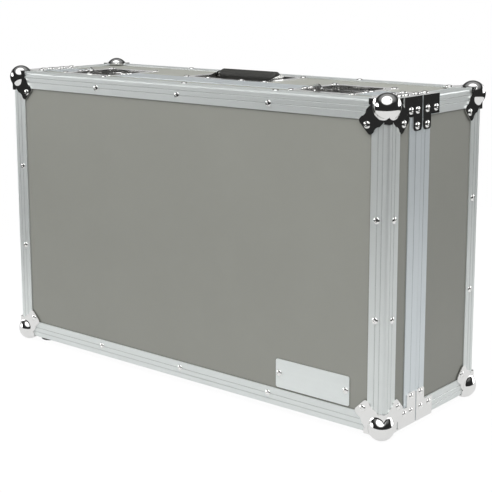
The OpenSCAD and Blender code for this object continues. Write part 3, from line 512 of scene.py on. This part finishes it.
def bar_direction_group():
    """Bar direction: gives the line stretch of a frame whose bars meet at mitres.

    The point's distance inside the frame's end is compared with its distance inside the top or
    bottom. The nearer one says whether the bar runs along Z or along X.
    """
    tree, source, result = shader_group(
        "Bar direction",
        [
            ("Vector", "NodeSocketVector", None),
            ("Half Width", "NodeSocketFloat", HALF_WIDTH),
            ("Half Height", "NodeSocketFloat", HALF_HEIGHT),
            ("Middle", "NodeSocketFloat", MIDDLE_HEIGHT),
            ("Fine", "NodeSocketFloat", LINES_ACROSS),
        ],
        [("Stretch", "NodeSocketVector")],
    )
    split = tree.nodes.new("ShaderNodeSeparateXYZ")
    tree.links.new(source.outputs["Vector"], split.inputs[0])
    end = math_node(tree, "SUBTRACT", source.outputs["Half Width"],
                    math_node(tree, "ABSOLUTE", split.outputs["X"]))
    above = math_node(tree, "SUBTRACT", split.outputs["Z"], source.outputs["Middle"])
    edge = math_node(tree, "SUBTRACT", source.outputs["Half Height"],
                     math_node(tree, "ABSOLUTE", above))
    upright = math_node(tree, "LESS_THAN", end, edge)
    fine = source.outputs["Fine"]
    across = math_node(tree, "MULTIPLY", upright, fine)
    along = math_node(tree, "SUBTRACT", fine, across)
    join = tree.nodes.new("ShaderNodeCombineXYZ")
    tree.links.new(math_node(tree, "MAXIMUM", across, LINES_ALONG), join.inputs["X"])
    tree.links.new(fine, join.inputs["Y"])
    tree.links.new(math_node(tree, "MAXIMUM", along, LINES_ALONG), join.inputs["Z"])
    tree.links.new(join.outputs[0], result.inputs["Stretch"])
    return tree


GROUP_MAKERS = {
    "Fine grain": fine_grain_group,
    "Drawn lines": drawn_lines_group,
    "Handling marks": handling_group,
    "Bar direction": bar_direction_group,
}


def place_group(tree, name, vector, **values):
    """Puts a shader group into a material, building the group once, and gives its node."""
    group = bpy.data.node_groups.get(name) or GROUP_MAKERS[name]()
    node = tree.nodes.new("ShaderNodeGroup")
    node.node_tree = group
    tree.links.new(vector, node.inputs["Vector"])
    for label, value in values.items():
        socket = node.inputs[label.replace("_", " ").title()]
        if isinstance(value, bpy.types.NodeSocket):
            tree.links.new(value, socket)
        else:
            socket.default_value = value
    return node


def new_material(name):
    """A node material with a Principled BSDF. Gives material, tree, shader and coordinates."""
    material = bpy.data.materials.new(name)
    material.use_nodes = True
    tree = material.node_tree
    shader = tree.nodes["Principled BSDF"]
    where = tree.nodes.new("ShaderNodeTexCoord").outputs["Object"]
    return material, tree, shader, where


def add_bump(tree, shader, height, strength, distance):
    """Links a height to the shader's normal through a Bump node."""
    bump = tree.nodes.new("ShaderNodeBump")
    bump.inputs["Strength"].default_value = strength
    bump.inputs["Distance"].default_value = distance
    tree.links.new(height, bump.inputs["Height"])
    tree.links.new(bump.outputs["Normal"], shader.inputs["Normal"])


def crease_shade_mask(tree, reach=GROOVE_REACH, own_piece=True):
    """1 in the open and near 0 down in a groove or along a seam. It marks where shade is painted
    in, together with some dust that stays there.

    It is the share of the sky that is open within the reach, to the power of the contrast.
    """
    open_sky = tree.nodes.new("ShaderNodeAmbientOcclusion")
    open_sky.samples = CREASE_SHADE_SAMPLES
    open_sky.only_local = own_piece
    open_sky.inputs["Distance"].default_value = reach
    return math_node(tree, "POWER", open_sky.outputs["AO"], CREASE_SHADE_CONTRAST)


def shade(value, factor):
    """A colour with each channel times a factor."""
    return tuple(channel * factor for channel in value)


def shades(value, *factors):
    """A colour times each of several factors."""
    return [shade(value, factor) for factor in factors]


def laminate_material():
    """Textured laminate: a fine pebble grain, broad tone and slightly scuffed gloss."""
    look = finish_settings()
    material, tree, shader, where = new_material("laminate")
    dull, pale, scuffed, darker_tone = shades(look.laminate, 0.975, 1.02, 1.12, 0.25)
    grain = place_group(tree, "Fine grain", where, scale=1.0 / look.laminate_grain,
                        cell_share=0.6)
    marks = place_group(tree, "Handling marks", where, amount=0.35)
    tone = mix_colours(tree, grain.outputs["Mask"], dull, pale)
    tone = mix_colours(tree, marks.outputs["Mask"], tone, scuffed)
    # Painted shade: next to trims and other parts the laminate darkens to a quarter of its colour,
    # like a contact shadow.
    open_face = crease_shade_mask(tree, reach=LAMINATE_SEAM_REACH, own_piece=False)
    tone = mix_colours(tree, open_face, darker_tone, tone)
    tree.links.new(tone, shader.inputs["Base Color"])
    gloss = scaled(tree, grain.outputs["Height"], factor=0.12,
                   offset=look.laminate_roughness - 0.05)
    tree.links.new(gloss, shader.inputs["Roughness"])
    shader.inputs["Specular IOR Level"].default_value = 0.4
    add_bump(tree, shader, grain.outputs["Height"], strength=0.12, distance=0.00015)
    return material


def aluminium_material(name, base, stretch, roughness):
    """Anodised aluminium with fine lines along the bar. stretch is three numbers or None."""
    material, tree, shader, where = new_material(name)
    if stretch is None:
        stretch = place_group(tree, "Bar direction", where).outputs["Stretch"]
    lines = place_group(tree, "Drawn lines", where, stretch=stretch)
    marks = place_group(tree, "Handling marks", where, amount=0.5)
    streaked, smudged, darker_tone = shades(base, 0.93, 0.86, 0.3)
    tone = mix_colours(tree, lines.outputs["Mask"], streaked, base)
    tone = mix_colours(tree, marks.outputs["Mask"], tone, smudged)
    # Painted shade with some dust: grooves and seams darken to three tenths of the colour.
    tone = mix_colours(tree, crease_shade_mask(tree), darker_tone, tone)
    tree.links.new(tone, shader.inputs["Base Color"])
    gloss = scaled(tree, lines.outputs["Mask"], factor=0.12, offset=roughness - 0.06)
    gloss = scaled(tree, marks.outputs["Mask"], factor=0.1, offset=gloss)
    tree.links.new(gloss, shader.inputs["Roughness"])
    shader.inputs["Metallic"].default_value = 0.75
    add_bump(tree, shader, lines.outputs["Height"], strength=0.06, distance=0.0001)
    return material


def plated_material(name, base, roughness, marks_amount, ripple, seam=0.0):
    """Plated or polished steel: a bright skin with faint ripples and handling marks.

    Where seam isn't zero, creases narrower than it get painted shade, darkening to about a third of
    the colour.
    """
    material, tree, shader, where = new_material(name)
    marks = place_group(tree, "Handling marks", where, amount=marks_amount)
    smudged, darker_tone = shades(base, 0.8, 0.35)
    tone = mix_colours(tree, marks.outputs["Mask"], base, smudged)
    # Painted shade in creases narrower than the seam.
    if seam:
        tone = mix_colours(tree, crease_shade_mask(tree, reach=seam), darker_tone, tone)
    tree.links.new(tone, shader.inputs["Base Color"])
    gloss = scaled(tree, marks.outputs["Mask"], factor=0.22, offset=roughness)
    tree.links.new(gloss, shader.inputs["Roughness"])
    shader.inputs["Metallic"].default_value = 1.0
    waves = noise_node(tree, where, scale=90.0, detail=2.0)
    add_bump(tree, shader, waves, strength=ripple, distance=0.0004)
    return material


def rubber_material():
    """Moulded rubber: near black, matt, with a faint pebble and paler scuffs."""
    look = finish_settings()
    material, tree, shader, where = new_material("rubber")
    grain = place_group(tree, "Fine grain", where, scale=1400.0, cell_share=0.7)
    marks = place_group(tree, "Handling marks", where, amount=0.6)
    scuffed = shade(look.rubber, 2.4)
    tone = mix_colours(tree, marks.outputs["Mask"], look.rubber, scuffed)
    tree.links.new(tone, shader.inputs["Base Color"])
    gloss = scaled(tree, grain.outputs["Height"], factor=0.2, offset=0.42)
    tree.links.new(gloss, shader.inputs["Roughness"])
    add_bump(tree, shader, grain.outputs["Height"], strength=0.3, distance=0.0002)
    return material


def foam_material():
    """Open-cell foam: dark pores between paler walls, fully matt."""
    look = finish_settings()
    material, tree, shader, where = new_material("foam")
    grain = place_group(tree, "Fine grain", where, scale=700.0, cell_share=0.8)
    wall, pore, darker_tone = shades(look.foam, 1.7, 0.45, 0.9)
    tone = mix_colours(tree, grain.outputs["Height"], wall, pore)
    tone = mix_colours(tree, grain.outputs["Mask"], tone, darker_tone)
    tree.links.new(tone, shader.inputs["Base Color"])
    shader.inputs["Roughness"].default_value = 0.95
    shader.inputs["Specular IOR Level"].default_value = 0.15
    shader.inputs["Sheen Weight"].default_value = 0.25
    shader.inputs["Sheen Roughness"].default_value = 0.6
    add_bump(tree, shader, grain.outputs["Height"], strength=0.7, distance=0.0008)
    return material


def dress(material, *names):
    """Gives a material to the CAD nodes of these names, in their objects' slots."""
    for name in names:
        for holder in nodes[name].material_slots:
            holder.link = "OBJECT"
            holder.material = material


# ------------------------------------------------------------------ operators


class FLIGHTCASE_OT_panels(bpy.types.Operator):
    """Gives the plywood panels their laminate"""

    bl_idname = "flight_case.panels"
    bl_label = "Laminated Panels"

    def execute(self, context):
        dress(laminate_material(), *[name for name in nodes if name.endswith("_panel")])
        return {"FINISHED"}


class FLIGHTCASE_OT_trims(bpy.types.Operator):
    """Gives the edge trims and closing rims their anodised finish"""

    bl_idname = "flight_case.trims"
    bl_label = "Aluminium Trims"

    def execute(self, context):
        look = context.scene.case_finish
        rough = look.aluminium_roughness
        for word, stretch in (
            ("long", (LINES_ALONG, LINES_ACROSS, LINES_ACROSS)),
            ("upright", (LINES_ACROSS, LINES_ACROSS, LINES_ALONG)),
            ("depth", (LINES_ACROSS, LINES_ALONG, LINES_ACROSS)),
        ):
            trim = aluminium_material(f"edge_aluminium_{word}", look.aluminium, stretch, rough)
            dress(trim, f"base_{word}_trim", f"lid_{word}_trim")
        rim = aluminium_material("rim_aluminium", look.rim_aluminium, None, rough)
        dress(rim, "base_closing_rim", "lid_closing_rim")
        plate = aluminium_material(
            "plate_aluminium",
            shade(look.aluminium, 1.08),
            stretch=(PLATE_LINES_ALONG, LINES_ACROSS, LINES_ACROSS),
            roughness=rough + 0.12,
        )
        dress(plate, "name_plate")
        return {"FINISHED"}


class FLIGHTCASE_OT_corners(bpy.types.Operator):
    """Gives the ball corners and rim braces their chrome"""

    bl_idname = "flight_case.corners"
    bl_label = "Chromed Corners"

    def execute(self, context):
        look = context.scene.case_finish
        chrome = plated_material("corner_chrome", look.chrome, roughness=0.07,
                                 marks_amount=0.3, ripple=0.02)
        dress(chrome, "base_ball_corners", "lid_ball_corners", "base_rim_braces",
              "lid_rim_braces")
        return {"FINISHED"}


class FLIGHTCASE_OT_rivets(bpy.types.Operator):
    """Gives the blind rivets their bright heads"""

    bl_idname = "flight_case.rivets"
    bl_label = "Rivets"

    def execute(self, context):
        bright = plated_material("rivet_steel", RIVET_STEEL, roughness=0.16,
                                 marks_amount=0.2, ripple=0.0)
        dress(bright, "base_rivets", "lid_rivets")
        return {"FINISHED"}


class FLIGHTCASE_OT_hardware(bpy.types.Operator):
    """Gives the dishes, latches, hinges and handle their plating"""

    bl_idname = "flight_case.hardware"
    bl_label = "Latches, Hinges and Handle"

    def execute(self, context):
        look = context.scene.case_finish
        dish = plated_material("dish_steel", look.chrome, roughness=0.15, marks_amount=0.6,
                               ripple=0.05, seam=0.0015)
        dress(dish, "latch_dishes", "keeper_dishes", "handle_dish")
        moving = plated_material("latch_steel", shade(look.chrome, 0.8), roughness=0.09,
                                 marks_amount=0.6, ripple=0.03, seam=0.0012)
        zinc = plated_material("plated_steel", look.zinc, roughness=0.24, marks_amount=0.8,
                               ripple=0.08, seam=0.0012)
        for side in ("left", "right"):
            dress(moving, f"latch_{side}_cam", f"latch_{side}_wing")
            dress(zinc, f"latch_{side}_pin", f"latch_{side}_hook")
        dress(zinc, "latch_guides", "latch_studs", "keepers", "base_hinge_leaves",
              "lid_hinge_leaves", "hinge_pins", "handle_brackets", "handle_pins",
              "handle_bail", "base_foot_screws", "lid_foot_screws")
        return {"FINISHED"}


class FLIGHTCASE_OT_rubber(bpy.types.Operator):
    """Gives the feet and the grip their rubber"""

    bl_idname = "flight_case.rubber"
    bl_label = "Rubber Feet and Grip"

    def execute(self, context):
        dress(rubber_material(), "base_feet", "lid_feet", "handle_grip")
        return {"FINISHED"}


class FLIGHTCASE_OT_foam(bpy.types.Operator):
    """Makes the foam boards that line lid and base"""

    bl_idname = "flight_case.foam"
    bl_label = "Foam Lining"

    def execute(self, context):
        shape = context.scene.case_foam
        material = foam_material()
        for name in [name for name in nodes if "_foam_" in name]:
            grids = []
            for low, high in loose_boxes(name):
                grids += rounded_board(low, high, shape.rounding, shape.crown, shape.cells)
            body = name.split("_")[0]
            piece = piece_from_grids(f"{name}_boards", grids, material, body)
            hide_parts(name)
        return {"FINISHED"}


class FLIGHTCASE_OT_studio(bpy.types.Operator):
    """Makes the floor, the lights, the world and the camera"""

    bl_idname = "flight_case.studio"
    bl_label = "Studio"

    def execute(self, context):
        studio = context.scene.case_studio
        make_floor(studio)
        make_lights(context.scene, studio)
        make_world(context.scene, studio)
        make_camera(context.scene, studio)
        context.scene.view_settings.view_transform = "Standard"
        return {"FINISHED"}


# ------------------------------------------------------------------ studio


# The floor: rings and spokes of its grid, its grey, the glow that the camera sees, the share of
# its white in reflections, and how far the camera sees through it.
FLOOR_RINGS = 12
FLOOR_SPOKES = 97
FLOOR_GREY = (0.5, 0.5, 0.5, 1.0)
FLOOR_CAMERA_GLOW = 0.6
FLOOR_REFLECTED_SHARE = 0.78
FLOOR_CLEAR = 0.9
WHITE = (1.0, 1.0, 1.0, 1.0)

# The softboxes: the word in the name and power setting, the place, and the diameter.
SOFTBOXES = (
    ("key", (0.75, -0.9, 2.1), 3.0),
    ("fill", (-2.0, -1.5, 1.2), 1.0),
    ("back", (-1.3, 2.3, 1.3), 1.6),
)
LIGHT_TARGET = (0, 0, 0.25)

# The white walls that metal reflects: the direction of each, how fast its sides rise with the
# dot product and from where, the height of its top, and its brightness.
WALLS = (
    ((-0.64, 0.77), 4.0, -0.8, 0.3, 0.6),
    ((0.342, 0.94), 3.0, -2.55, 0.4, 11.0),
    ((-0.883, -0.469), 8.0, -7.44, 0.4, 14.0),
)
WALL_FOOT_RISE = 20.0
WALL_HEAD_FALL = 8.0

# The reflected ceiling and softbox: how fast each rises and from where.
CEILING_RISE = 3.3
CEILING_START = -1.7
OVERHEAD = (0.21, -0.42, 0.885)
OVERHEAD_RISE = 8.0
OVERHEAD_START = -5.8

# The camera: yaw, pitch and roll in degrees, its place, and its shift as a share of the picture.
CAMERA_ANGLES = (39.8225, 10.175, -0.1061)
CAMERA_PLACE = (1.1715, -1.3663, 0.6096)
CAMERA_SHIFT = -60.0 / 492.0


def make_floor(studio):
    """A round white floor: rings of points at growing radius, at height zero.

    It reaches further to the right and back than towards the camera. The camera sees through
    most of it to the white world, so that it shows a faint shadow and is only a thin veil over
    what hangs below it. Reflections see it mostly as white.
    """
    radius = np.linspace(0.0, studio.floor_radius, FLOOR_RINGS)[:, None]
    turn = np.linspace(0.0, 2 * math.pi, FLOOR_SPOKES)[None, :]
    shift = studio.floor_shift
    grid = np.stack([shift[0] + radius * np.cos(turn), shift[1] + radius * np.sin(turn),
                     0 * radius * turn], axis=-1)
    material, tree, shader, _ = new_material("studio_floor")
    shader.inputs["Base Color"].default_value = FLOOR_GREY
    shader.inputs["Roughness"].default_value = 0.9
    shader.inputs["Specular IOR Level"].default_value = 0.0
    path = tree.nodes.new("ShaderNodeLightPath")
    camera_ray = path.outputs["Is Camera Ray"]
    tree.links.new(math_node(tree, "MULTIPLY", camera_ray, FLOOR_CAMERA_GLOW),
                   shader.inputs["Emission Strength"])
    shader.inputs["Emission Color"].default_value = WHITE
    glow = tree.nodes.new("ShaderNodeEmission")
    glow.inputs["Strength"].default_value = studio.floor_glow
    lit = tree.nodes.new("ShaderNodeMixShader")
    reflected = math_node(tree, "MULTIPLY", path.outputs["Is Glossy Ray"],
                          FLOOR_REFLECTED_SHARE)
    tree.links.new(reflected, lit.inputs[0])
    tree.links.new(shader.outputs[0], lit.inputs[1])
    tree.links.new(glow.outputs[0], lit.inputs[2])
    seen = math_node(tree, "MAXIMUM", camera_ray, path.outputs["Is Transmission Ray"])
    clear = scaled(tree, seen, factor=FLOOR_CLEAR, offset=path.outputs["Is Shadow Ray"])
    blend = tree.nodes.new("ShaderNodeMixShader")
    tree.links.new(math_node(tree, "MINIMUM", clear, 1.0), blend.inputs[0])
    tree.links.new(lit.outputs[0], blend.inputs[1])
    tree.links.new(tree.nodes.new("ShaderNodeBsdfTransparent").outputs[0], blend.inputs[2])
    output = next(node for node in tree.nodes if node.type == "OUTPUT_MATERIAL")
    tree.links.new(blend.outputs[0], output.inputs["Surface"])
    smooth_object("studio_floor", mesh_from_grids("studio_floor", [grid]), material)


def make_lights(scene, studio):
    """The softboxes: a broad one over the camera, a small one from the left, one behind.

    Each is a round area light that faces the same point.
    """
    for word, place, diameter in SOFTBOXES:
        name = f"{word}_softbox"
        light = bpy.data.lights.new(name, "AREA")
        light.shape = "ELLIPSE"
        light.size = diameter
        light.size_y = diameter
        light.energy = getattr(studio, f"{word}_power")
        lamp = bpy.data.objects.new(name, light)
        lamp.location = place
        lamp.visible_camera = False
        lamp.visible_glossy = False
        away = Vector(place) - Vector(LIGHT_TARGET)
        lamp.rotation_euler = away.to_track_quat("Z", "Y").to_euler()
        scene.collection.objects.link(lamp)


def dot_product(tree, direction, way):
    """The dot product of a direction with a fixed way."""
    node = tree.nodes.new("ShaderNodeVectorMath")
    node.operation = "DOT_PRODUCT"
    node.inputs[1].default_value = way
    tree.links.new(direction, node.inputs[0])
    return node.outputs["Value"]


def wall_light(tree, studio):
    """What reflections see: a dark room with a grey ceiling, low white walls and a softbox.

    The ceiling grows with the direction's height. A wall grows with the direction's dot
    product with the wall's own direction, and stands between the horizon and the height where
    it has faded out. The softbox is an oval that is added in the same way.
    """
    direction = tree.nodes.new("ShaderNodeTexCoord").outputs["Generated"]
    split = tree.nodes.new("ShaderNodeSeparateXYZ")
    tree.links.new(direction, split.inputs[0])
    height = split.outputs["Z"]
    foot = clamped(tree, math_node(tree, "MULTIPLY", height, WALL_FOOT_RISE))
    ceiling = clamped(tree, scaled(tree, height, factor=CEILING_RISE, offset=CEILING_START))
    light = scaled(tree, ceiling, factor=studio.ceiling, offset=studio.surround)
    for (x, y), rise, start, top, strength in WALLS:
        fading = scaled(tree, height, factor=-WALL_HEAD_FALL, offset=WALL_HEAD_FALL * top)
        facing = dot_product(tree, direction, (x, y, 0.0))
        across = clamped(tree, scaled(tree, facing, factor=rise, offset=start))
        upright = math_node(tree, "MULTIPLY", foot, clamped(tree, fading))
        edges = math_node(tree, "MULTIPLY", across, upright)
        wall = math_node(tree, "MULTIPLY", edges, strength * studio.walls)
        light = math_node(tree, "MAXIMUM", wall, light)
    facing = dot_product(tree, direction, OVERHEAD)
    oval = clamped(tree, scaled(tree, facing, factor=OVERHEAD_RISE, offset=OVERHEAD_START))
    return scaled(tree, oval, factor=studio.overhead, offset=light)


def make_world(scene, studio):
    """The world: white to the camera, a room with walls to metal, and soft light to the rest."""
    world = bpy.data.worlds.new("studio_world")
    world.use_nodes = True
    tree = world.node_tree
    tree.nodes.clear()
    background = tree.nodes.new("ShaderNodeBackground")
    background.inputs["Color"].default_value = WHITE
    path = tree.nodes.new("ShaderNodeLightPath")
    clear = math_node(tree, "MAXIMUM", path.outputs["Is Camera Ray"],
                      path.outputs["Is Transmission Ray"])
    plain = scaled(tree, clear, factor=1.0 - studio.ambient, offset=studio.ambient)
    share = path.outputs["Is Glossy Ray"]
    room = math_node(tree, "MULTIPLY", share, wall_light(tree, studio))
    rest = math_node(tree, "MULTIPLY", math_node(tree, "SUBTRACT", 1.0, share), plain)
    tree.links.new(math_node(tree, "ADD", room, rest), background.inputs["Strength"])
    output = tree.nodes.new("ShaderNodeOutputWorld")
    tree.links.new(background.outputs[0], output.inputs["Surface"])
    scene.world = world


def make_camera(scene, studio):
    """A viewpoint near the photograph's.

    The camera is turned by the yaw about Z, looks down by the pitch and is tilted by the roll.
    """
    yaw, pitch, roll = (math.radians(angle) for angle in CAMERA_ANGLES)
    forward = Vector((-math.sin(yaw) * math.cos(pitch), math.cos(yaw) * math.cos(pitch),
                      -math.sin(pitch)))
    right = Vector((math.cos(yaw), math.sin(yaw), 0.0))
    up = right.cross(forward)
    tilted = right * math.cos(roll) + up * math.sin(roll)
    up = tilted.cross(forward)
    data = bpy.data.cameras.new("camera")
    data.sensor_width = 36.0
    data.lens = studio.lens
    data.shift_y = CAMERA_SHIFT
    data.clip_start = 0.05
    data.clip_end = 50.0
    camera = bpy.data.objects.new("camera", data)
    turn = Matrix((tilted, up, -forward)).transposed()
    camera.matrix_world = Matrix.Translation(CAMERA_PLACE) @ turn.to_4x4()
    scene.collection.objects.link(camera)
    scene.camera = camera


# ------------------------------------------------------------------ panel and registration


STEPS = (
    FLIGHTCASE_OT_studio,
    FLIGHTCASE_OT_panels,
    FLIGHTCASE_OT_trims,
    FLIGHTCASE_OT_corners,
    FLIGHTCASE_OT_rivets,
    FLIGHTCASE_OT_hardware,
    FLIGHTCASE_OT_rubber,
    FLIGHTCASE_OT_foam,
)


class FLIGHTCASE_PT_panel(bpy.types.Panel):
    """Lists the case's finishes and pieces"""

    bl_idname = "FLIGHTCASE_PT_panel"
    bl_label = "Flight Case"
    bl_space_type = "VIEW_3D"
    bl_region_type = "UI"
    bl_category = "Flight Case"

    def draw(self, context):
        for name in SETTINGS:
            group = getattr(context.scene, name)
            box = self.layout.box()
            for field in group.__annotations__:
                box.prop(group, field)
        for step in STEPS:
            self.layout.operator(step.bl_idname)


SETTINGS = {
    "case_finish": CaseFinishSettings,
    "case_foam": FoamSettings,
    "case_studio": StudioSettings,
}


def register():
    """Registers the settings, the operators and the panel."""
    for group in (*SETTINGS.values(), *STEPS, FLIGHTCASE_PT_panel):
        bpy.utils.register_class(group)
    for name, group in SETTINGS.items():
        setattr(bpy.types.Scene, name, PointerProperty(type=group))


def unregister():
    """Takes back what register() did."""
    for name in SETTINGS:
        delattr(bpy.types.Scene, name)
    for group in (FLIGHTCASE_PT_panel, *reversed(STEPS), *SETTINGS.values()):
        bpy.utils.unregister_class(group)


def main():
    """Runs each step in order."""
    register()
    for step in STEPS:
        area, word = step.bl_idname.split(".")
        getattr(getattr(bpy.ops, area), word)()


if __name__ == "__main__":
    main()
